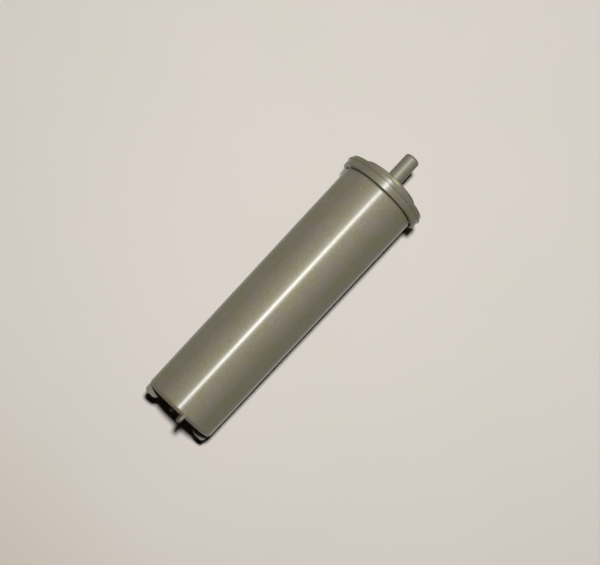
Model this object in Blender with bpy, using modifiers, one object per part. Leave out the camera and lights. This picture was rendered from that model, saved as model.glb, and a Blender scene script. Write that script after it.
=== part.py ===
"""Water softener filter: a sealed cartridge that lies or stands in an appliance's water tank.

A drafted tube of moulded plastic stands on four radial fins. Water enters through a slotted
grille in its floor, rises through a bed of softening resin held between a felt and a foam pad,
each backed by a moulded screen, and leaves by the spigot of the flanged cap.
Sizes are in metres. The axis is Z, the feet stand on the plane z = 0, and the fins lie on X and Y.
"""

import math

import bmesh
import bpy
from mathutils import Matrix, Vector

MM = 0.001

# Housing tube
FOOT_HEIGHT = 3.2 * MM
TUBE_LENGTH = 132.6 * MM
TUBE_BOTTOM_R = 17.95 * MM
TUBE_TOP_R = 18.85 * MM
TUBE_WALL = 1.6 * MM
MOUTH_ROUND = 0.2 * MM
FLOOR_THICK = 1.8 * MM
FLOOR_ROUND = 1.7 * MM
INNER_CORNER_ROUND = 0.6 * MM

# Inlet grille in the floor
INLET_R = 9.4 * MM
INLET_DEPTH = 0.5 * MM
SLOT_COUNT = 12
SLOT_WIDTH = 1.4 * MM
SLOT_INNER_R = 4.2 * MM
SLOT_OUTER_R = 8.6 * MM

# Standing fins
FIN_COUNT = 4
FIN_THICK = 1.6 * MM
FIN_INNER_R = 10.9 * MM
FIN_INSET = 0.15 * MM
FIN_ROOT_SINK = 0.4 * MM
FIN_OUTER_ROUND = 1.8 * MM
FIN_INNER_ROUND = 2.2 * MM

# Cap
FLANGE_R = 21.75 * MM
FLANGE_BACK_R = 21.25 * MM
FLANGE_THICK = 3.5 * MM
FLANGE_ROUND = 0.3 * MM
SEAT_DEPTH = 0.5 * MM
RIM_R = 21.1 * MM
RIM_HEIGHT = 2.5 * MM
RIM_ROUND = 0.6 * MM
BOSS_R = 14.8 * MM
BOSS_HEIGHT = 2.8 * MM
BOSS_ROUND = 0.6 * MM
CAP_WALL = 1.6 * MM
SKIRT_LENGTH = 7.0 * MM
SKIRT_WALL = 1.5 * MM
SKIRT_LEAD = 0.4 * MM

# Spigot on the cap
SPIGOT_R = 3.75 * MM
SPIGOT_BORE_R = 1.9 * MM
SPIGOT_LENGTH = 15.6 * MM
SPIGOT_TIP_ROUND = 1.4 * MM
SPIGOT_ROOT_ROUND = 0.5 * MM

# Filling
SCREEN_RIM_THICK = 1.4 * MM
SCREEN_RIM_WIDTH = 1.6 * MM
SCREEN_LATTICE_THICK = 0.8 * MM
SCREEN_HOLE = 2.0 * MM
SCREEN_PITCH = 3.0 * MM
FELT_THICK = 2.0 * MM
FOAM_THICK = 8.0 * MM

# Fit between neighbouring pieces
FIT_GAP = 0.3 * MM

# Fineness
CIRCLE_STEPS = 80
ARC_STEPS = 3
SLOT_END_STEPS = 14
CUT_MARGIN = 1.0 * MM
MERGE = 0.01 * MM
SHARP_ANGLE = math.radians(32)

# Places that follow from the sizes
FLOOR_TOP = FOOT_HEIGHT + FLOOR_THICK
MOUTH = FOOT_HEIGHT + TUBE_LENGTH
SEAT = MOUTH + FIT_GAP
FLANGE_BACK = MOUTH - SEAT_DEPTH
FLANGE_FACE = FLANGE_BACK + FLANGE_THICK
RIM_FACE = FLANGE_FACE + RIM_HEIGHT
BOSS_FACE = RIM_FACE + BOSS_HEIGHT
SPIGOT_TIP = BOSS_FACE + SPIGOT_LENGTH
SKIRT_END = SEAT - SKIRT_LENGTH


def tube_outer_r(z):
    """The drafted outside of the tube at a height."""
    share = (z - FOOT_HEIGHT) / TUBE_LENGTH
    return TUBE_BOTTOM_R + share * (TUBE_TOP_R - TUBE_BOTTOM_R)


def bore_r(z):
    """The inside of the tube at a height."""
    return tube_outer_r(z) - TUBE_WALL


def filling_r(z):
    """What slides into the tube clears its wall by the fit."""
    return bore_r(z) - FIT_GAP


def clear_scene():
    for obj in list(bpy.data.objects):
        bpy.data.objects.remove(obj, do_unlink=True)


def new_collection(name):
    collection = bpy.data.collections.new(name)
    bpy.context.scene.collection.children.link(collection)
    return collection


def new_material(name, colour, roughness, metallic=0.0):
    material = bpy.data.materials.new(name)
    material.use_nodes = True
    shader = material.node_tree.nodes["Principled BSDF"]
    shader.inputs["Base Color"].default_value = (*colour, 1.0)
    shader.inputs["Roughness"].default_value = roughness
    shader.inputs["Metallic"].default_value = metallic
    return material


def rounded_outline(corners):
    """Corners as (radius, height, rounding), in order along the outline, with each rounding an arc."""
    points = []
    for i, (r, z, rounding) in enumerate(corners):
        corner = Vector((r, z))
        if not rounding:
            if not points or (corner - points[-1]).length > MERGE:
                points.append(corner)
            continue
        before = (Vector(corners[i - 1][:2]) - corner).normalized()
        after = (Vector(corners[(i + 1) % len(corners)][:2]) - corner).normalized()
        half = before.angle(after) / 2
        centre = corner + (before + after).normalized() * rounding / math.sin(half)
        start = corner + before * rounding / math.tan(half) - centre
        end = corner + after * rounding / math.tan(half) - centre
        sweep = math.atan2(start.cross(end), start.dot(end))
        for step in range(ARC_STEPS + 1):
            turn = Matrix.Rotation(sweep * step / ARC_STEPS, 2)
            points.append(centre + turn @ start)
    return points


def turned(name, corners, closed):
    """A turned piece: its outline runs outwards from the top and down the outer side."""
    outline = rounded_outline(corners)
    ends = [(i, i + 1) for i in range(len(outline) - 1)]
    if closed:
        ends.append((len(outline) - 1, 0))
    mesh = bpy.data.meshes.new(name)
    mesh.from_pydata([(p.x, 0.0, p.y) for p in outline], ends, [])
    obj = bpy.data.objects.new(name, mesh)
    screw = obj.modifiers.new("Turn", "SCREW")
    screw.axis = "Z"
    screw.angle = math.tau
    screw.steps = CIRCLE_STEPS
    screw.render_steps = CIRCLE_STEPS
    screw.use_merge_vertices = True
    screw.merge_threshold = MERGE
    return obj


def helper(name, bm, collection):
    """A shape that cuts or joins another and is not a piece itself."""
    bmesh.ops.recalc_face_normals(bm, faces=bm.faces)
    mesh = bpy.data.meshes.new(name)
    bm.to_mesh(mesh)
    bm.free()
    obj = bpy.data.objects.new(name, mesh)
    obj.hide_render = True
    obj.display_type = "WIRE"
    collection.objects.link(obj)
    return obj


def combine(obj, other, operation):
    boolean = obj.modifiers.new(other.name, "BOOLEAN")
    boolean.operation = operation
    boolean.solver = "EXACT"
    boolean.object = other


def finish(obj, material, collection):
    """Turns the modifiers into mesh, so that the shading can follow the real edges."""
    collection.objects.link(obj)
    bpy.context.view_layer.update()
    graph = bpy.context.evaluated_depsgraph_get()
    mesh = bpy.data.meshes.new_from_object(obj.evaluated_get(graph))
    obj.modifiers.clear()
    obj.data = mesh
    mesh.name = obj.name
    mesh.shade_smooth()
    mesh.set_sharp_from_angle(angle=SHARP_ANGLE)
    mesh.materials.clear()
    mesh.materials.append(material)
    return obj


def repeat_round(bm, count):
    """Copies everything in the mesh round the Z axis, count times in all."""
    geom = bm.verts[:] + bm.edges[:] + bm.faces[:]
    bmesh.ops.spin(
        bm, geom=geom, cent=(0.0, 0.0, 0.0), axis=(0.0, 0.0, 1.0),
        angle=math.tau * (count - 1) / count, steps=count - 1, use_duplicate=True,
    )


def standing_fins():
    """Radial plates that carry the floor clear of the tank's bottom.

    Each is rooted in the floor, and its root rises outwards into the tube's rounded lower corner.
    """
    bm = bmesh.new()
    outer_r = TUBE_BOTTOM_R - FIN_INSET
    inner_root = FOOT_HEIGHT + FLOOR_THICK / 2
    outer_root = FOOT_HEIGHT + FLOOR_ROUND - math.sqrt(2 * FLOOR_ROUND * FIN_INSET) + FIN_ROOT_SINK
    middle_r = (outer_r + FIN_INNER_R) / 2
    size = Matrix.Diagonal((outer_r - FIN_INNER_R, FIN_THICK, inner_root, 1.0))
    middle = Matrix.Translation((middle_r, 0.0, inner_root / 2))
    bmesh.ops.create_cube(bm, size=1.0, matrix=middle @ size)
    for v in bm.verts:
        if v.co.x > middle_r and v.co.z > FOOT_HEIGHT / 2:
            v.co.z = max(inner_root, outer_root)
    for rounding, outer in ((FIN_OUTER_ROUND, True), (FIN_INNER_ROUND, False)):
        corner = [
            e for e in bm.edges
            if all(v.co.z < FOOT_HEIGHT / 2 and (v.co.x > middle_r) == outer for v in e.verts)
        ]
        bmesh.ops.bevel(
            bm, geom=corner, offset=rounding, segments=ARC_STEPS, profile=0.5, affect="EDGES",
        )
    repeat_round(bm, FIN_COUNT)
    return bm


def inlet_slots():
    """Radial slots with round ends, midway between the fins and through the floor."""
    bm = bmesh.new()
    radius = SLOT_WIDTH / 2
    bmesh.ops.create_cone(
        bm, cap_ends=True, segments=SLOT_END_STEPS, radius1=radius, radius2=radius,
        depth=FLOOR_THICK + 2 * CUT_MARGIN,
    )
    for v in bm.verts:
        v.co.x += SLOT_INNER_R + radius if v.co.x < 0 else SLOT_OUTER_R - radius
        v.co.z += FOOT_HEIGHT + FLOOR_THICK / 2
    half_pitch = Matrix.Rotation(math.pi / SLOT_COUNT, 3, "Z")
    bmesh.ops.rotate(bm, verts=bm.verts, matrix=half_pitch)
    repeat_round(bm, SLOT_COUNT)
    return bm


def lattice_holes(reach, z):
    """Square holes on a grid, as far out as a whole one fits."""
    bm = bmesh.new()
    rows = int(reach / SCREEN_PITCH)
    for ix in range(-rows, rows + 1):
        for iy in range(-rows, rows + 1):
            x, y = ix * SCREEN_PITCH, iy * SCREEN_PITCH
            if math.hypot(abs(x) + SCREEN_HOLE / 2, abs(y) + SCREEN_HOLE / 2) > reach:
                continue
            size = Matrix.Diagonal((SCREEN_HOLE, SCREEN_HOLE, SCREEN_RIM_THICK + 2 * CUT_MARGIN, 1.0))
            bmesh.ops.create_cube(bm, size=1.0, matrix=Matrix.Translation((x, y, z)) @ size)
    return bm


def make_housing(material, pieces, helpers):
    inlet_face = FOOT_HEIGHT + INLET_DEPTH
    corners = [
        (0.0, FLOOR_TOP, 0.0),
        (bore_r(FLOOR_TOP), FLOOR_TOP, INNER_CORNER_ROUND),
        (bore_r(MOUTH), MOUTH, 0.0),
        (TUBE_TOP_R, MOUTH, MOUTH_ROUND),
        (TUBE_BOTTOM_R, FOOT_HEIGHT, FLOOR_ROUND),
        (INLET_R, FOOT_HEIGHT, 0.0),
        (INLET_R, inlet_face, 0.0),
        (0.0, inlet_face, 0.0),
    ]
    housing = turned("housing", corners, closed=False)
    combine(housing, helper("standing_fins", standing_fins(), helpers), "UNION")
    combine(housing, helper("inlet_slots", inlet_slots(), helpers), "DIFFERENCE")
    return finish(housing, material, pieces)


def make_end_cap(material, pieces):
    """Cap with a skirt that plugs the tube, a flange over its mouth, a rim, a raised boss and the spigot.

    The mouth sits in a shallow recess of the flange's back.
    """
    seat_r = TUBE_TOP_R + FIT_GAP
    skirt_inner = filling_r(SKIRT_END) - SKIRT_WALL
    lead = SKIRT_END + SKIRT_LEAD
    corners = [
        (SPIGOT_BORE_R, SPIGOT_TIP, 0.0),
        (SPIGOT_R, SPIGOT_TIP, SPIGOT_TIP_ROUND),
        (SPIGOT_R, BOSS_FACE, SPIGOT_ROOT_ROUND),
        (BOSS_R, BOSS_FACE, BOSS_ROUND),
        (BOSS_R, RIM_FACE, 0.0),
        (RIM_R, RIM_FACE, RIM_ROUND),
        (RIM_R, FLANGE_FACE, 0.0),
        (FLANGE_R, FLANGE_FACE, FLANGE_ROUND),
        (FLANGE_BACK_R, FLANGE_BACK, FLANGE_ROUND),
        (seat_r, FLANGE_BACK, 0.0),
        (seat_r, SEAT, 0.0),
        (filling_r(SEAT), SEAT, 0.0),
        (filling_r(lead), lead, 0.0),
        (filling_r(SKIRT_END) - SKIRT_LEAD, SKIRT_END, 0.0),
        (skirt_inner, SKIRT_END, 0.0),
        (skirt_inner, RIM_FACE - CAP_WALL, 0.0),
        (BOSS_R - CAP_WALL, RIM_FACE - CAP_WALL, 0.0),
        (BOSS_R - CAP_WALL, BOSS_FACE - CAP_WALL, 0.0),
        (SPIGOT_BORE_R, BOSS_FACE - CAP_WALL, 0.0),
    ]
    return finish(turned("end_cap", corners, closed=True), material, pieces)


def make_disc(name, low, high, material, pieces):
    """A plain filling piece that fits the drafted bore from one height to another."""
    corners = [
        (0.0, high, 0.0),
        (filling_r(high), high, 0.0),
        (filling_r(low), low, 0.0),
        (0.0, low, 0.0),
    ]
    return finish(turned(name, corners, closed=False), material, pieces)


def make_screen(name, low, filling_above, material, pieces, helpers):
    """A moulded lattice in a thicker rim. The lattice is flush with the rim on the filling's side."""
    high = low + SCREEN_RIM_THICK
    lattice_low = high - SCREEN_LATTICE_THICK if filling_above else low
    lattice_high = lattice_low + SCREEN_LATTICE_THICK
    lattice_r = filling_r(low) - SCREEN_RIM_WIDTH
    corners = [
        (0.0, lattice_high, 0.0),
        (lattice_r, lattice_high, 0.0),
        (lattice_r, high, 0.0),
        (filling_r(high), high, 0.0),
        (filling_r(low), low, 0.0),
        (lattice_r, low, 0.0),
        (lattice_r, lattice_low, 0.0),
        (0.0, lattice_low, 0.0),
    ]
    screen = turned(name, corners, closed=False)
    holes = lattice_holes(lattice_r, (low + high) / 2)
    combine(screen, helper(name + "_holes", holes, helpers), "DIFFERENCE")
    return finish(screen, material, pieces)


def main():
    clear_scene()
    pieces = new_collection("water_softener_filter")
    helpers = new_collection("cutters")
    shell = new_material("flecked_grey_plastic", (0.16, 0.15, 0.125), 0.3)
    white = new_material("white_plastic", (0.78, 0.78, 0.75), 0.45)
    felt = new_material("white_felt", (0.82, 0.81, 0.76), 0.95)
    foam = new_material("open_foam", (0.72, 0.70, 0.62), 0.95)
    resin = new_material("resin_beads", (0.48, 0.27, 0.09), 0.4)

    make_housing(shell, pieces, helpers)
    make_end_cap(shell, pieces)

    inlet_screen_low = FLOOR_TOP + FIT_GAP
    felt_low = inlet_screen_low + SCREEN_RIM_THICK + FIT_GAP
    resin_low = felt_low + FELT_THICK + FIT_GAP
    outlet_screen_low = SKIRT_END - FIT_GAP - SCREEN_RIM_THICK
    foam_low = outlet_screen_low - FIT_GAP - FOAM_THICK
    make_screen("inlet_screen", inlet_screen_low, True, white, pieces, helpers)
    make_disc("inlet_felt", felt_low, felt_low + FELT_THICK, felt, pieces)
    make_disc("resin_bed", resin_low, foam_low - FIT_GAP, resin, pieces)
    make_disc("foam_pad", foam_low, foam_low + FOAM_THICK, foam, pieces)
    make_screen("outlet_screen", outlet_screen_low, False, white, pieces, helpers)


main()
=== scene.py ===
"""Looks of the water softener filter: a moulded cartridge with a drafted tube, a welded cap and a spigot.

Sizes are in metres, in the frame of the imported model: the axis is Z and the fins stand on z = 0.
"""

import math

import bmesh
import bpy
from mathutils import Matrix, Vector, noise


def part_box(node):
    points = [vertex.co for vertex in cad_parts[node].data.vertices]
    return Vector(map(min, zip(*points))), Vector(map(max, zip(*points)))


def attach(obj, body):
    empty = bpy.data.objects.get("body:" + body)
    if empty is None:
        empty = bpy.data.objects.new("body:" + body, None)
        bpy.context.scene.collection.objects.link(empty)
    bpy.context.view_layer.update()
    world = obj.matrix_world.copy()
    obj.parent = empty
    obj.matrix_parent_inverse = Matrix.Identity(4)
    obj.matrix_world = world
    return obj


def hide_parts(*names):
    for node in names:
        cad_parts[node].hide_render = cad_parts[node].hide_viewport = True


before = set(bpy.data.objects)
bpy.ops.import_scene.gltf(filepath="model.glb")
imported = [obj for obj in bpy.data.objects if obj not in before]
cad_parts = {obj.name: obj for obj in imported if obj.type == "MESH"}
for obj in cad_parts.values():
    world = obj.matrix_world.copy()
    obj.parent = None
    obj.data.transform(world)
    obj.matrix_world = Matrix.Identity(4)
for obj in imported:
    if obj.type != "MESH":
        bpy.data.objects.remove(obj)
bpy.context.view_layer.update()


# Housing
# One moulding: a drafted tube and its floor, with the slotted inlet grille and the four radial fins
# that it stands on. It is of warm grey plastic, loaded with mica. The lower edge is well rounded, and
# the mouth has a lead under the cap's flange.

MM = 0.001
AROUND = 256
MERGE = 0.001 * MM
housing_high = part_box("housing")[1]

# The tube is a little fuller than the solid's, after its outline in the photograph.
FULLNESS = 0.12 * MM
TUBE_TOP_R = housing_high.x + FULLNESS
TUBE_BOTTOM_R = 18.03 * MM
TUBE_WALL = 1.7 * MM
MOUTH = housing_high.z
FLOOR_FACE = 3.2 * MM
FLOOR_TOP = 5.0 * MM
FLOOR_ROUND = 2.0 * MM


def turned(outline):
    """A closed turned shape. The outline's corners are (radius, height, rounding)."""
    bm = bmesh.new()
    ring = [bm.verts.new((r, 0.0, z)) for r, z, _ in outline]
    profile = [bm.edges.new(pair) for pair in zip(ring, ring[1:])]
    if outline[0][0] > 0.0:
        profile.append(bm.edges.new((ring[-1], ring[0])))
    bmesh.ops.spin(
        bm, geom=ring + profile, cent=(0.0, 0.0, 0.0), axis=(0.0, 0.0, 1.0),
        angle=math.tau, steps=AROUND, use_merge=True,
    )
    bmesh.ops.remove_doubles(bm, verts=bm.verts, dist=MERGE)
    bmesh.ops.recalc_face_normals(bm, faces=bm.faces)
    for r, z, rounding in outline:
        if rounding:
            round_ring(bm, r, z, rounding)
    return bm


def round_ring(bm, r, z, rounding):
    """Rounds the circular edge that runs at a radius and a height."""
    edge = [
        e for e in bm.edges
        if all(abs(v.co.xy.length - r) < MERGE and abs(v.co.z - z) < MERGE for v in e.verts)
    ]
    bmesh.ops.bevel(
        bm, geom=edge, offset=rounding, segments=5, profile=0.5, affect="EDGES", material=-1,
    )


def new_piece(name, bm, material):
    """A finished object of a mesh, shaded smooth between its real edges."""
    mesh = bpy.data.meshes.new(name)
    bm.to_mesh(mesh)
    bm.free()
    mesh.materials.append(material)
    smooth_between_edges(mesh)
    piece = bpy.data.objects.new(name, mesh)
    bpy.context.scene.collection.objects.link(piece)
    return piece


def smooth_between_edges(mesh):
    real_edge = math.radians(30)
    mesh.shade_smooth()
    mesh.set_sharp_from_angle(angle=real_edge)


def even_normals(piece):
    """Large faces keep their own normals next to small roundings."""
    weighted = piece.modifiers.new("Even normals", "WEIGHTED_NORMAL")
    weighted.keep_sharp = True


def combined(piece, bm, operation):
    """Joins a shape to a piece, or cuts it out."""
    bmesh.ops.recalc_face_normals(bm, faces=bm.faces)
    other = new_piece("other_shape", bm, piece.data.materials[0])
    boolean = piece.modifiers.new("Combine", "BOOLEAN")
    boolean.operation = operation
    boolean.solver = "EXACT"
    boolean.object = other
    graph = bpy.context.evaluated_depsgraph_get()
    mesh = bpy.data.meshes.new_from_object(piece.evaluated_get(graph))
    piece.modifiers.clear()
    piece.data = mesh
    bpy.data.objects.remove(other)


def repeated_round(bm, count):
    """Copies all that is in the mesh round the Z axis, count times in all."""
    bmesh.ops.spin(
        bm, geom=bm.verts[:] + bm.edges[:] + bm.faces[:], cent=(0.0, 0.0, 0.0), axis=(0.0, 0.0, 1.0),
        angle=math.tau * (count - 1) / count, steps=count - 1, use_duplicate=True,
    )


def fins():
    """Plates under the floor, on X and Y, thinner at the foot and rounded at both ends."""
    count = 4
    thick = 1.6 * MM
    foot_thick = 1.15 * MM
    set_back = 0.23 * MM
    inner_r = 10.9 * MM
    outer_r = TUBE_BOTTOM_R - set_back
    outer_round = 1.9 * MM
    inner_round = 2.2 * MM
    edge_round = 0.2 * MM
    root_rise = 0.49 * MM
    inner_root = (FLOOR_FACE + FLOOR_TOP) / 2
    outer_root = inner_root + root_rise
    middle_r = (inner_r + outer_r) / 2
    bm = bmesh.new()
    size = Matrix.Diagonal((outer_r - inner_r, thick, inner_root, 1.0))
    bmesh.ops.create_cube(bm, size=1.0, matrix=Matrix.Translation((middle_r, 0.0, inner_root / 2)) @ size)
    for v in bm.verts:
        if v.co.z < FLOOR_FACE / 2:
            v.co.y *= foot_thick / thick
        elif v.co.x > middle_r:
            v.co.z = outer_root
    for rounding, outer in ((outer_round, True), (inner_round, False)):
        foot_end = [
            e for e in bm.edges
            if all(v.co.z < FLOOR_FACE / 2 and (v.co.x > middle_r) == outer for v in e.verts)
        ]
        bmesh.ops.bevel(
            bm, geom=foot_end, offset=rounding, segments=8, profile=0.5, affect="EDGES", material=-1,
        )
    on_a_side = [e for e in bm.edges if e.verts[0].co.y * e.verts[1].co.y > 0]
    outline = [e for e in on_a_side if e.calc_face_angle(0.0) > math.radians(60)]
    bmesh.ops.bevel(
        bm, geom=outline, offset=edge_round, segments=2, profile=0.5, affect="EDGES", material=-1,
    )
    repeated_round(bm, count)
    return bm


def inlet_slots():
    """Radial slots with round ends, through the floor."""
    count = 12
    width = 1.4 * MM
    inner_r = 4.2 * MM
    outer_r = 8.6 * MM
    reach = 3 * MM
    bm = bmesh.new()
    bmesh.ops.create_cone(
        bm, cap_ends=True, segments=24, radius1=width / 2, radius2=width / 2, depth=2 * reach,
        matrix=Matrix.Translation((0.0, 0.0, FLOOR_FACE)),
    )
    for v in bm.verts:
        v.co.x += inner_r + width / 2 if v.co.x < 0 else outer_r - width / 2
    bmesh.ops.rotate(bm, verts=bm.verts, matrix=Matrix.Rotation(math.pi / count, 3, "Z"))
    repeated_round(bm, count)
    return bm


class Wire:
    """One output of a material node. Python's operators on it add Math nodes."""

    def __init__(self, finish, made, key=0):
        self.finish = finish
        self.made = made
        self.socket = made.outputs[key] if made.outputs else None

    def also(self, key):
        """Another output of the same node."""
        return Wire(self.finish, self.made, key)

    def math(self, operation, first, second):
        return self.finish.node("ShaderNodeMath", {"operation": operation}, {0: first, 1: second})

    def __add__(self, other):
        return self.math("ADD", self, other)

    __radd__ = __add__

    def __mul__(self, other):
        return self.math("MULTIPLY", self, other)

    __rmul__ = __mul__

    def __sub__(self, other):
        return self.math("SUBTRACT", self, other)

    def __rsub__(self, other):
        return self.math("SUBTRACT", other, self)

    def __gt__(self, other):
        return self.math("GREATER_THAN", self, other)

    def __lt__(self, other):
        return self.math("LESS_THAN", self, other)


class Finish:
    """The nodes of a material or of the world, which all come from the one method, node."""

    def __init__(self, owner):
        owner.use_nodes = True
        self.owner = owner
        self.tree = owner.node_tree
        self.tree.nodes.clear()

    def node(self, kind, settings=(), sockets=()):
        """A node of a kind: its settings are set first, then the values or wires of its sockets."""
        made = self.tree.nodes.new(kind)
        for name, value in dict(settings).items():
            setattr(made, name, value)
        for name, value in dict(sockets).items():
            socket = made.inputs[name]
            if isinstance(value, Wire):
                self.tree.links.new(value.socket, socket)
            elif socket.type == "RGBA":
                socket.default_value = (*value, 1.0)
            else:
                socket.default_value = value
        return Wire(self, made)

    def place(self):
        """Where a point of the piece lies in the frame."""
        return self.node("ShaderNodeTexCoord").also("Object")

    def clouds(self, size, detail=2.0, roughness=0.5, seed=0.0):
        """Smooth noise round 0.5, with features about size across."""
        return self.node(
            "ShaderNodeTexNoise", {"noise_dimensions": "4D"},
            {
                "Vector": self.place(), "W": seed, "Scale": 1 / size,
                "Detail": detail, "Roughness": roughness,
            },
        )

    def cells(self, size):
        """Cells about size across: the distance from their middle, and a colour at random for each."""
        return self.node("ShaderNodeTexVoronoi", {}, {"Vector": self.place(), "Scale": 1 / size})

    def parts(self, colour):
        """A colour's red, green and blue, of which red comes first."""
        return self.node("ShaderNodeSeparateColor", {}, {"Color": colour})

    def spread(self, value, low, high, to_low=0.0, to_high=1.0):
        """Stretches the range from low to high over another one, and holds its ends."""
        return self.node(
            "ShaderNodeMapRange", {"clamp": True},
            {"Value": value, "From Min": low, "From Max": high, "To Min": to_low, "To Max": to_high},
        )

    def mix(self, share, first, second):
        """From the first colour to the second by a share."""
        return self.node("ShaderNodeMix", {"data_type": "RGBA"}, {0: share, 6: first, 7: second}).also(2)

    def shade(self, colour, amount):
        """A colour made lighter or darker by a number."""
        return self.node(
            "ShaderNodeVectorMath", {"operation": "SCALE"}, {"Vector": colour, "Scale": amount},
        )

    def relief(self, height, depth):
        """The normal of a relief that is depth high where height is 1."""
        return self.node("ShaderNodeBump", {}, {"Height": height, "Distance": depth})

    def surface(self, shader):
        self.node("ShaderNodeOutputMaterial", {}, {"Surface": shader})
        return self.owner


def flow_bands(finish):
    """Faint bands along the tube, round which the melt flowed."""
    count = 6
    turn = math.radians(43.5)
    where = finish.node("ShaderNodeSeparateXYZ", {}, {0: finish.place()})
    angle = where.math("ARCTAN2", where.also("Y"), where.also("X"))
    turns = (angle - turn) * count
    return turns.math("COSINE", turns, 0.0)


def warm_patch(finish, colour, centre):
    """A warm, light yellow patch in the colour, round one place."""
    patch_colour = (0.430, 0.395, 0.225)
    full_reach = 0.9 * MM
    reach = 3.0 * MM
    strength = 0.8
    away = finish.node("ShaderNodeVectorMath", {"operation": "DISTANCE"}, {0: finish.place(), 1: centre})
    return finish.mix(finish.spread(away.also("Value"), full_reach, reach, strength, 0.0), colour, patch_colour)


def flecked_plastic(name, gloss, drawn_out=0.0, mica_share=0.10, tone=1.0, shine=1.60, patch_at=None):
    """Olive and mauve grey in faint clouds and bands, full of fine mica, with a few golden flakes.

    gloss is the roughness near the foot and near the cap. Where the mould was polished along the
    axis, the gloss is drawn out that way. shine is the refractive index. tone darkens the colour
    and the mica share; on the fins it is painted shade, under the tube's edge.
    """
    olive = (0.166, 0.152, 0.079)
    mauve = (0.180, 0.158, 0.126)
    gold = (0.560, 0.480, 0.170)
    mica = (0.600, 0.550, 0.440)
    cloud_size = 8 * MM
    band_strength = 0.07
    flake_size = 0.4 * MM
    flake_contrast = 0.10
    gold_size = 2.6 * MM
    gold_rarity = 0.62
    gold_reach = 0.075
    gold_strength = 0.5
    share_contrast = 0.2
    ripple_size = 1.6 * MM
    ripple_depth = 0.004 * MM
    sparkle = 0.04
    foot_height = 10 * MM
    cap_height = 150 * MM
    coat_from = 0.60
    coat_full = 0.88

    finish = Finish(bpy.data.materials.new(name))
    cloud = finish.clouds(cloud_size, 3.0, 0.6) + flow_bands(finish) * band_strength
    colour = finish.mix(finish.spread(cloud, 0.38, 0.62), olive, mauve)

    glint = finish.parts(finish.cells(flake_size).also("Color"))
    darkest = tone * (1 - flake_contrast)
    lightest = tone * (1 + flake_contrast)
    colour = finish.shade(colour, finish.spread(glint, 0.0, 1.0, darkest, lightest))

    speck = finish.cells(gold_size)
    golden = (finish.parts(speck.also("Color")) > gold_rarity) * (speck < gold_reach)
    colour = finish.mix(golden * gold_strength, colour, gold)
    if patch_at:
        colour = warm_patch(finish, colour, patch_at)

    ripple = finish.clouds(ripple_size, 3.0, 0.6, seed=4.0) * 0.7 + glint * 0.3
    relief = finish.relief(ripple, ripple_depth)
    height = finish.node("ShaderNodeSeparateXYZ", {}, {0: finish.place()}).also("Z")
    roughness = finish.spread(height, foot_height, cap_height, *gloss) + (glint - 0.5) * sparkle
    grazing = finish.node("ShaderNodeLayerWeight", {}, {"Blend": 0.5}).also("Facing")
    plastic = finish.node(
        "ShaderNodeBsdfPrincipled", {},
        {
            "Base Color": colour,
            "Roughness": roughness,
            "IOR": shine,
            "Anisotropic": drawn_out,
            "Anisotropic Rotation": 0.25,
            "Coat Weight": finish.spread(grazing, coat_from, coat_full),
            "Coat Roughness": 0.12,
            "Normal": relief,
        },
    )
    flakes = finish.node(
        "ShaderNodeBsdfPrincipled", {},
        {"Base Color": mica, "Metallic": 1.0, "Roughness": 0.69, "Normal": relief},
    )
    fewest = tone * mica_share * (1 - share_contrast)
    most = tone * mica_share * (1 + share_contrast)
    share = finish.spread(glint, 0.0, 1.0, fewest, most)
    return finish.surface(finish.node("ShaderNodeMixShader", {}, {0: share, 1: plastic, 2: flakes}))


polished = flecked_plastic("flecked_plastic", gloss=(0.32, 0.38), drawn_out=0.88, mica_share=0.16)
# Rougher fins and floor underside; tone=0.78 paints them darker, as painted shade under the tube's edge.
rough_and_shaded = flecked_plastic("flecked_plastic_fins", gloss=(0.50, 0.50), tone=0.78)


def housing_shell():
    corner_round = 0.6 * MM
    edge_round = 0.15 * MM
    fine_round = 0.1 * MM
    grille_r = 9.4 * MM
    grille_face = FLOOR_FACE + 0.5 * MM
    mouth_lead = 0.7 * MM
    mouth_depth = 1.0 * MM
    rough_and_shaded_top = FLOOR_FACE + 0.1 * MM

    def bore_r(z):
        share = (z - FLOOR_FACE) / (MOUTH - FLOOR_FACE)
        return TUBE_BOTTOM_R + share * (TUBE_TOP_R - TUBE_BOTTOM_R) - TUBE_WALL

    bm = turned([
        (0.0, FLOOR_TOP, 0.0),
        (bore_r(FLOOR_TOP), FLOOR_TOP, corner_round),
        (bore_r(MOUTH), MOUTH, 0.0),
        (TUBE_TOP_R - mouth_lead, MOUTH, 0.0),
        (TUBE_TOP_R, MOUTH - mouth_depth, edge_round),
        (TUBE_BOTTOM_R, FLOOR_FACE, FLOOR_ROUND),
        (grille_r, FLOOR_FACE, edge_round),
        (grille_r, grille_face, fine_round),
        (0.0, grille_face, 0.0),
    ])
    shell = new_piece("housing_shell", bm, polished)
    combined(shell, fins(), "UNION")
    combined(shell, inlet_slots(), "DIFFERENCE")
    shell.data.materials.append(rough_and_shaded)
    for face in shell.data.polygons:
        face.material_index = 1 if face.center.z < rough_and_shaded_top else 0
    smooth_between_edges(shell.data)
    even_normals(shell)
    return shell


shell = housing_shell()
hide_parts("housing")
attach(shell, "root")


# Cap
# One moulding of the same plastic: a flange with a fine lip, which is welded over the tube's mouth,
# a stepped rim, a raised round boss and the spigot that the hose goes on. Its skirt plugs the tube
# and holds the filling down.

cap_low, cap_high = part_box("end_cap")

SPIGOT_TIP = cap_high.z
FLANGE_R = 21.69 * MM
FLANGE_BACK_R = 21.25 * MM
FLANGE_BACK = MOUTH - 0.25 * MM
FLANGE_FACE = FLANGE_BACK + 3.95 * MM
RIM_FACE = FLANGE_FACE + 1.8 * MM
BOSS_FACE = RIM_FACE + 2.8 * MM
SPIGOT_R = 3.75 * MM
SPIGOT_BORE_R = 1.9 * MM
RIM_R = 21.1 * MM
RIM_TOP_R = 20.9 * MM
BOSS_R = 14.8 * MM
PATCH_AT = (-1.7 * MM, -14.6 * MM, 143.0 * MM)


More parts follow.
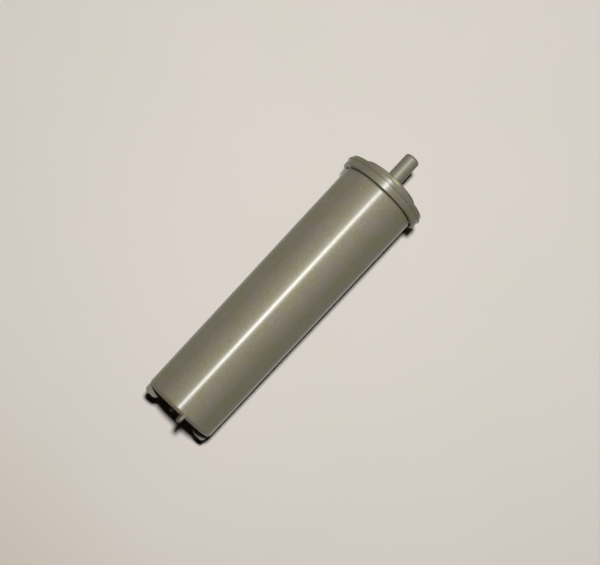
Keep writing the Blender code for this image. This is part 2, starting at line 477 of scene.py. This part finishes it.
def cap_mesh():
    tip_round = 1.35 * MM
    boss_round = 0.9 * MM
    step_round = 0.5 * MM
    back_round = 0.3 * MM
    bore_round = 0.25 * MM
    edge_round = 0.15 * MM
    fine_round = 0.1 * MM
    wall = 1.6 * MM
    lip = 0.5 * MM
    lip_slope = 0.2 * MM
    skirt_end = cap_low.z
    skirt_r = 16.92 * MM
    skirt_wall = 1.5 * MM
    lead = 0.4 * MM
    seat = MOUTH + 0.3 * MM
    seat_r = TUBE_TOP_R + 0.5 * MM
    weld_r = 18.3 * MM
    weld_low = MOUTH + 0.02 * MM
    return turned([
        (SPIGOT_BORE_R, SPIGOT_TIP, bore_round),
        (SPIGOT_R, SPIGOT_TIP, tip_round),
        (SPIGOT_R, BOSS_FACE, step_round),
        (BOSS_R, BOSS_FACE, boss_round),
        (BOSS_R, RIM_FACE, step_round),
        (RIM_TOP_R, RIM_FACE, step_round),
        (RIM_R, FLANGE_FACE, 0.0),
        (FLANGE_R, FLANGE_FACE, edge_round),
        (FLANGE_R, FLANGE_FACE - lip, fine_round),
        (FLANGE_BACK_R, FLANGE_FACE - lip - lip_slope, 0.0),
        (FLANGE_BACK_R, FLANGE_BACK, back_round),
        (seat_r, FLANGE_BACK, fine_round),
        (seat_r, seat, 0.0),
        (weld_r, seat, 0.0),
        (weld_r - lead, weld_low, 0.0),
        (skirt_r, weld_low, 0.0),
        (skirt_r, skirt_end + lead, 0.0),
        (skirt_r - lead, skirt_end, 0.0),
        (skirt_r - skirt_wall, skirt_end, 0.0),
        (skirt_r - skirt_wall, RIM_FACE - wall, back_round),
        (BOSS_R - wall, RIM_FACE - wall, 0.0),
        (BOSS_R - wall, BOSS_FACE - wall, 0.0),
        (SPIGOT_BORE_R, BOSS_FACE - wall, 0.0),
    ])


def cap_shell():
    """The spigot, the boss with the rim's face, and the flange each have a gloss of their own."""
    spigot_reach = SPIGOT_R + 0.5 * MM
    boss_low = RIM_FACE - 0.6 * MM
    cap = new_piece("cap_shell", cap_mesh(), polished)
    for material in (
        flecked_plastic("flecked_plastic_spigot", gloss=(0.48, 0.48)),
        flecked_plastic("flecked_plastic_boss", gloss=(0.85, 0.85), patch_at=PATCH_AT),
        flecked_plastic(
            "flecked_plastic_flange", gloss=(0.43, 0.43), drawn_out=0.88, tone=0.92, shine=1.85,
        ),
    ):
        cap.data.materials.append(material)
    for face in cap.data.polygons:
        if face.center.xy.length < spigot_reach:
            face.material_index = 1
        elif face.center.z > boss_low:
            face.material_index = 2
        else:
            face.material_index = 3
    even_normals(cap)
    return cap


cap = cap_shell()
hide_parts("end_cap")
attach(cap, "root")


# Screens
# Two lattice discs, moulded in natural white plastic, lie under the felt and over the foam. The
# plastic is a little cloudy and waxy, with a fine spark-eroded texture from the mould.

def white_plastic():
    cloudy = (0.72, 0.71, 0.66)
    clean = (0.82, 0.81, 0.77)
    cloud_size = 3 * MM
    spark_size = 0.25 * MM
    spark_depth = 0.008 * MM
    finish = Finish(bpy.data.materials.new("screen_plastic"))
    tone = finish.spread(finish.clouds(cloud_size, 3.0), 0.35, 0.65)
    shader = finish.node(
        "ShaderNodeBsdfPrincipled", {},
        {
            "Base Color": finish.mix(tone, cloudy, clean),
            "Roughness": finish.spread(tone, 0.0, 1.0, 0.38, 0.50),
            "Subsurface Weight": 0.15,
            "Subsurface Radius": (2.0 * MM, 2.0 * MM, 1.8 * MM),
            "Normal": finish.relief(finish.clouds(spark_size, 3.0), spark_depth),
        },
    )
    return finish.surface(shader)


screen_plastic = white_plastic()
for name in ("inlet_screen", "outlet_screen"):
    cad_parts[name].data.materials.clear()
    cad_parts[name].data.materials.append(screen_plastic)


# Felt
# A disc cut from pressed white felt, which keeps the resin's fines out of the inlet. Its fibres lie
# in all directions, its faces are a little uneven, and its cut edge is soft.

DRAFT = (TUBE_TOP_R - TUBE_BOTTOM_R) / (MOUTH - FLOOR_FACE)


def filling_disc(name, node, material, rounding, mesh_step, lump_size, lump_depth):
    """A disc that fills a CAD node, finely meshed, with its surface pushed in unevenly."""
    low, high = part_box(node)
    high_r = high.x
    low_r = high_r - DRAFT * (high.z - low.z)

    def between(start, end):
        steps = int((Vector(end) - Vector(start)).length / mesh_step)
        for i in range(1, steps):
            r, z = Vector(start).lerp(Vector(end), i / steps)
            yield (r, z, 0.0)

    top = (0.0, high.z)
    upper = (high_r, high.z)
    lower = (low_r, low.z)
    bottom = (0.0, low.z)
    bm = turned([
        (*top, 0.0), *between(top, upper), (*upper, rounding), *between(upper, lower),
        (*lower, rounding), *between(lower, bottom), (*bottom, 0.0),
    ])
    bm.normal_update()
    for v in bm.verts:
        v.co -= v.normal * lump_depth * (0.5 + 0.5 * noise.noise(v.co / lump_size))
    return new_piece(name, bm, material)


def felt_cloth():
    hollow = (0.66, 0.64, 0.58)
    raised = (0.86, 0.85, 0.81)
    fibre_size = 0.22 * MM
    tuft_size = 1.8 * MM
    nap = 0.12 * MM
    finish = Finish(bpy.data.materials.new("felt"))
    fibres = finish.clouds(fibre_size, 5.0, 0.75, seed=2.0)
    tufts = finish.clouds(tuft_size, 3.0, 0.6)
    # The relief's hollows are painted darker: partly the fibres' own uneven tone, partly painted shade.
    shade = finish.spread(fibres * 0.6 + tufts * 0.4, 0.35, 0.62)
    shader = finish.node(
        "ShaderNodeBsdfPrincipled", {},
        {
            "Base Color": finish.mix(shade, hollow, raised),
            "Roughness": finish.spread(tufts, 0.3, 0.7, 0.90, 1.0),
            "Sheen Weight": 0.35,
            "Sheen Roughness": 0.6,
            "Normal": finish.relief(fibres + tufts, nap),
        },
    )
    return finish.surface(shader)


felt = filling_disc(
    "felt_disc", "inlet_felt", felt_cloth(),
    rounding=0.4 * MM, mesh_step=0.6 * MM, lump_size=2.2 * MM, lump_depth=0.15 * MM,
)
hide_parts("inlet_felt")
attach(felt, "root")


# Resin bed
# Small round beads of amber softening resin, packed between the felt and the foam. They are moist
# and glossy, about 0.7 mm across, and no two have quite the same colour.

def resin_beads():
    bead_size = 0.7 * MM
    bead_depth = 0.22 * MM
    bead_curve = 2.6
    dark_amber = (0.36, 0.17, 0.045)
    light_amber = (0.62, 0.37, 0.12)
    spent = (0.24, 0.10, 0.03)
    shade_between_beads = (0.10, 0.045, 0.015)
    finish = Finish(bpy.data.materials.new("resin_beads"))
    beads = finish.cells(bead_size)
    kind = finish.parts(beads.also("Color"))
    amber = finish.mix(finish.spread(kind, 0.0, 1.0), dark_amber, light_amber)
    amber = finish.mix(finish.spread(kind.also("Green"), 0.82, 0.86), amber, spent)
    # Painted shade: the gaps between the beads are painted dark.
    shaded_gap = finish.spread(beads, 0.34, 0.56)
    shader = finish.node(
        "ShaderNodeBsdfPrincipled", {},
        {
            "Base Color": finish.mix(shaded_gap, amber, shade_between_beads),
            "Roughness": finish.spread(shaded_gap, 0.0, 1.0, 0.22, 0.7),
            "Normal": finish.relief(1.0 - beads * beads * bead_curve, bead_depth),
        },
    )
    return finish.surface(shader)


resin = filling_disc(
    "resin_beads", "resin_bed", resin_beads(),
    rounding=0.8 * MM, mesh_step=1.2 * MM, lump_size=3.0 * MM, lump_depth=0.25 * MM,
)
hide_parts("resin_bed")
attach(resin, "root")


# Foam pad
# A disc cut from cream open-cell foam, lightly squeezed between the bed and the outlet screen. Its
# cut faces show the open cells, about 1.3 mm across, with thin cream walls round pores that are
# painted dark, as painted shade in their hollows.

def open_foam():
    cell_size = 1.3 * MM
    small_size = 0.5 * MM
    age_size = 12 * MM
    wall_height = 0.35 * MM
    pore_shade = (0.30, 0.27, 0.20)
    aged_cream = (0.74, 0.71, 0.60)
    fresh_cream = (0.80, 0.78, 0.70)
    finish = Finish(bpy.data.materials.new("open_foam"))
    # Painted shade: the hollows of the cells are painted dark, and the walls between them cream.
    wall = finish.spread(finish.cells(cell_size) * 0.75 + finish.cells(small_size) * 0.25, 0.18, 0.52)
    age = finish.spread(finish.clouds(age_size), 0.35, 0.65)
    cream = finish.mix(age, aged_cream, fresh_cream)
    shader = finish.node(
        "ShaderNodeBsdfPrincipled", {},
        {
            "Base Color": finish.mix(wall, pore_shade, cream),
            "Roughness": finish.spread(wall, 0.0, 1.0, 1.0, 0.85),
            "Sheen Weight": 0.2,
            "Normal": finish.relief(wall, wall_height),
        },
    )
    return finish.surface(shader)


foam = filling_disc(
    "foam_disc", "foam_pad", open_foam(),
    rounding=0.7 * MM, mesh_step=0.5 * MM, lump_size=1.3 * MM, lump_depth=0.25 * MM,
)
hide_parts("foam_pad")
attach(foam, "root")


# Table
# The board that the filter lies on in the photograph. It touches the flange and the tube's lower
# edge, so it leans against the upright frame. From behind it isn't seen, and it lets light through.

TOWARD_VIEWER = Matrix.Rotation(math.radians(258.5), 3, "Z") @ Vector((1.0, 0.0, 0.0))
UP = Vector((0.0, 0.0, 1.0))
ACROSS = UP.cross(TOWARD_VIEWER)


def board_finish():
    """Pale matt card, painted darker and warmer toward its lower end: painted shade of the lamp's
    fall-off. The light that it throws back on matt surfaces is held down.
    """
    bounce = 0.05
    mirrored = 0.66
    warm_pale = (0.690, 0.640, 0.583)
    light_pale = (0.700, 0.648, 0.595)
    falloff_shade = (0.640, 0.575, 0.490)
    patch_size = 60 * MM
    shade_from = -45 * MM
    shade_full = -125 * MM
    finish = Finish(bpy.data.materials.new("pale_board"))
    patch = finish.spread(finish.clouds(patch_size), 0.35, 0.65)
    height = finish.node("ShaderNodeSeparateXYZ", {}, {0: finish.place()}).also("Z")
    colour = finish.mix(patch, warm_pale, light_pale)
    # Painted shade: darker and warmer toward the lower end, where the lamp's light falls off.
    colour = finish.mix(finish.spread(height, shade_from, shade_full), colour, falloff_shade)
    light = finish.node("ShaderNodeLightPath")
    seen = light.math("MAXIMUM", light.also("Is Camera Ray"), light.also("Is Glossy Ray") * mirrored)
    colour = finish.shade(colour, finish.spread(seen, 0.0, 1.0, bounce, 1.0))
    matt = finish.node("ShaderNodeBsdfDiffuse", {}, {"Color": colour})
    clear = finish.node("ShaderNodeBsdfTransparent")
    behind = finish.node("ShaderNodeNewGeometry").also("Backfacing")
    hidden = light.math("MAXIMUM", behind, light.also("Is Shadow Ray"))
    return finish.surface(finish.node("ShaderNodeMixShader", {}, {0: hidden, 1: matt, 2: clear}))


def lying_board():
    half_width = 1.5
    low_edge = -TUBE_BOTTOM_R * TOWARD_VIEWER + UP * (FLOOR_FACE + FLOOR_ROUND)
    high_edge = -FLANGE_R * TOWARD_VIEWER + UP * FLANGE_FACE
    along = (high_edge - low_edge).normalized()
    facing = ACROSS.cross(along)
    bm = bmesh.new()
    bmesh.ops.create_grid(bm, x_segments=1, y_segments=1, size=half_width)
    middle = (low_edge + high_edge) / 2
    turn = Matrix((ACROSS, along, facing)).transposed().to_4x4()
    bmesh.ops.transform(bm, matrix=Matrix.Translation(middle) @ turn, verts=bm.verts)
    return new_piece("board", bm, board_finish())


board = lying_board()


# Light
# One small lamp over the table gives the narrow streak and the sharp shadow. Two weak ones show only
# in gloss, as a bright spot and a pale wall of the room do. A lamp behind the board lights the back,
# and its light goes no further than the faces that it reaches.

MIDDLE = 83 * MM * UP


def area_lamp(name, place, toward, size, power):
    lamp = bpy.data.lights.new(name, "AREA")
    lamp.shape = "DISK"
    lamp.size = size
    lamp.energy = power
    holder = bpy.data.objects.new(name, lamp)
    holder.location = place
    holder.rotation_euler = (toward - place).to_track_quat("-Z", "Y").to_euler()
    bpy.context.scene.collection.objects.link(holder)
    return holder


lamp_place = 804 * MM * TOWARD_VIEWER + 170 * MM * UP - 57 * MM * ACROSS
lamp_aim = MIDDLE + 80 * MM * ACROSS + 90 * MM * UP
area_lamp("lamp", lamp_place, lamp_aim, size=80 * MM, power=6.95)

gleam_place = 800 * MM * TOWARD_VIEWER + 320 * MM * UP - 255 * MM * ACROSS
gleam = area_lamp("gleam", gleam_place, MIDDLE, size=160 * MM, power=0.55)
gleam.visible_diffuse = False

wall_place = 600 * MM * TOWARD_VIEWER + 1000 * MM * ACROSS
wall = area_lamp("wall", wall_place, MIDDLE, size=1500 * MM, power=0.9)
wall.visible_diffuse = False

back_place = MIDDLE - 1500 * MM * TOWARD_VIEWER + 150 * MM * UP
back_lamp = area_lamp("back_lamp", back_place, MIDDLE, size=100 * MM, power=25.0)
back_lamp.data.cycles.max_bounces = 0


def room(pale, ambient):
    """The room's even light, and the pale colour that the camera sees past the board."""
    world = bpy.data.worlds.new("room")
    air = Finish(world)
    path = air.node("ShaderNodeLightPath")
    tone = air.mix(path.also("Is Camera Ray"), ambient, pale)
    glow = air.node("ShaderNodeBackground", {}, {"Color": tone, "Strength": 1.0})
    air.node("ShaderNodeOutputWorld", {}, {"Surface": glow})
    bpy.context.scene.world = world


room(pale=(0.66, 0.61, 0.54), ambient=(0.001, 0.001, 0.001))


# Camera
# It looks down on the table from a little below the filter's middle, turned so that the filter
# lies across the picture from lower left to upper right. Its place was found from the outlines.

def photograph_camera():
    away = 551.0 * MM
    height = 30.64 * MM
    aside = -0.54 * MM
    lean = math.radians(5.356)
    swing = math.radians(0.131)
    roll = math.radians(46.985)
    sensor = 36.0
    picture_width_px = 600
    focal_length_px = 1224
    level = math.sin(swing) * ACROSS - math.cos(swing) * TOWARD_VIEWER
    look = math.sin(lean) * UP + math.cos(lean) * level
    along = (UP - UP.dot(look) * look).normalized()
    side = look.cross(along)
    up = math.sin(roll) * along - math.cos(roll) * side
    turn = Matrix((look.cross(up), up, -look)).transposed().to_4x4()
    lens = bpy.data.cameras.new("camera")
    lens.sensor_width = sensor
    lens.lens = sensor * focal_length_px / picture_width_px
    lens.clip_start = 10 * MM
    camera = bpy.data.objects.new("camera", lens)
    place = away * TOWARD_VIEWER + aside * ACROSS + height * UP
    camera.matrix_world = Matrix.Translation(place) @ turn
    bpy.context.scene.collection.objects.link(camera)
    bpy.context.scene.camera = camera


photograph_camera()
bpy.context.scene.view_settings.view_transform = "Standard"
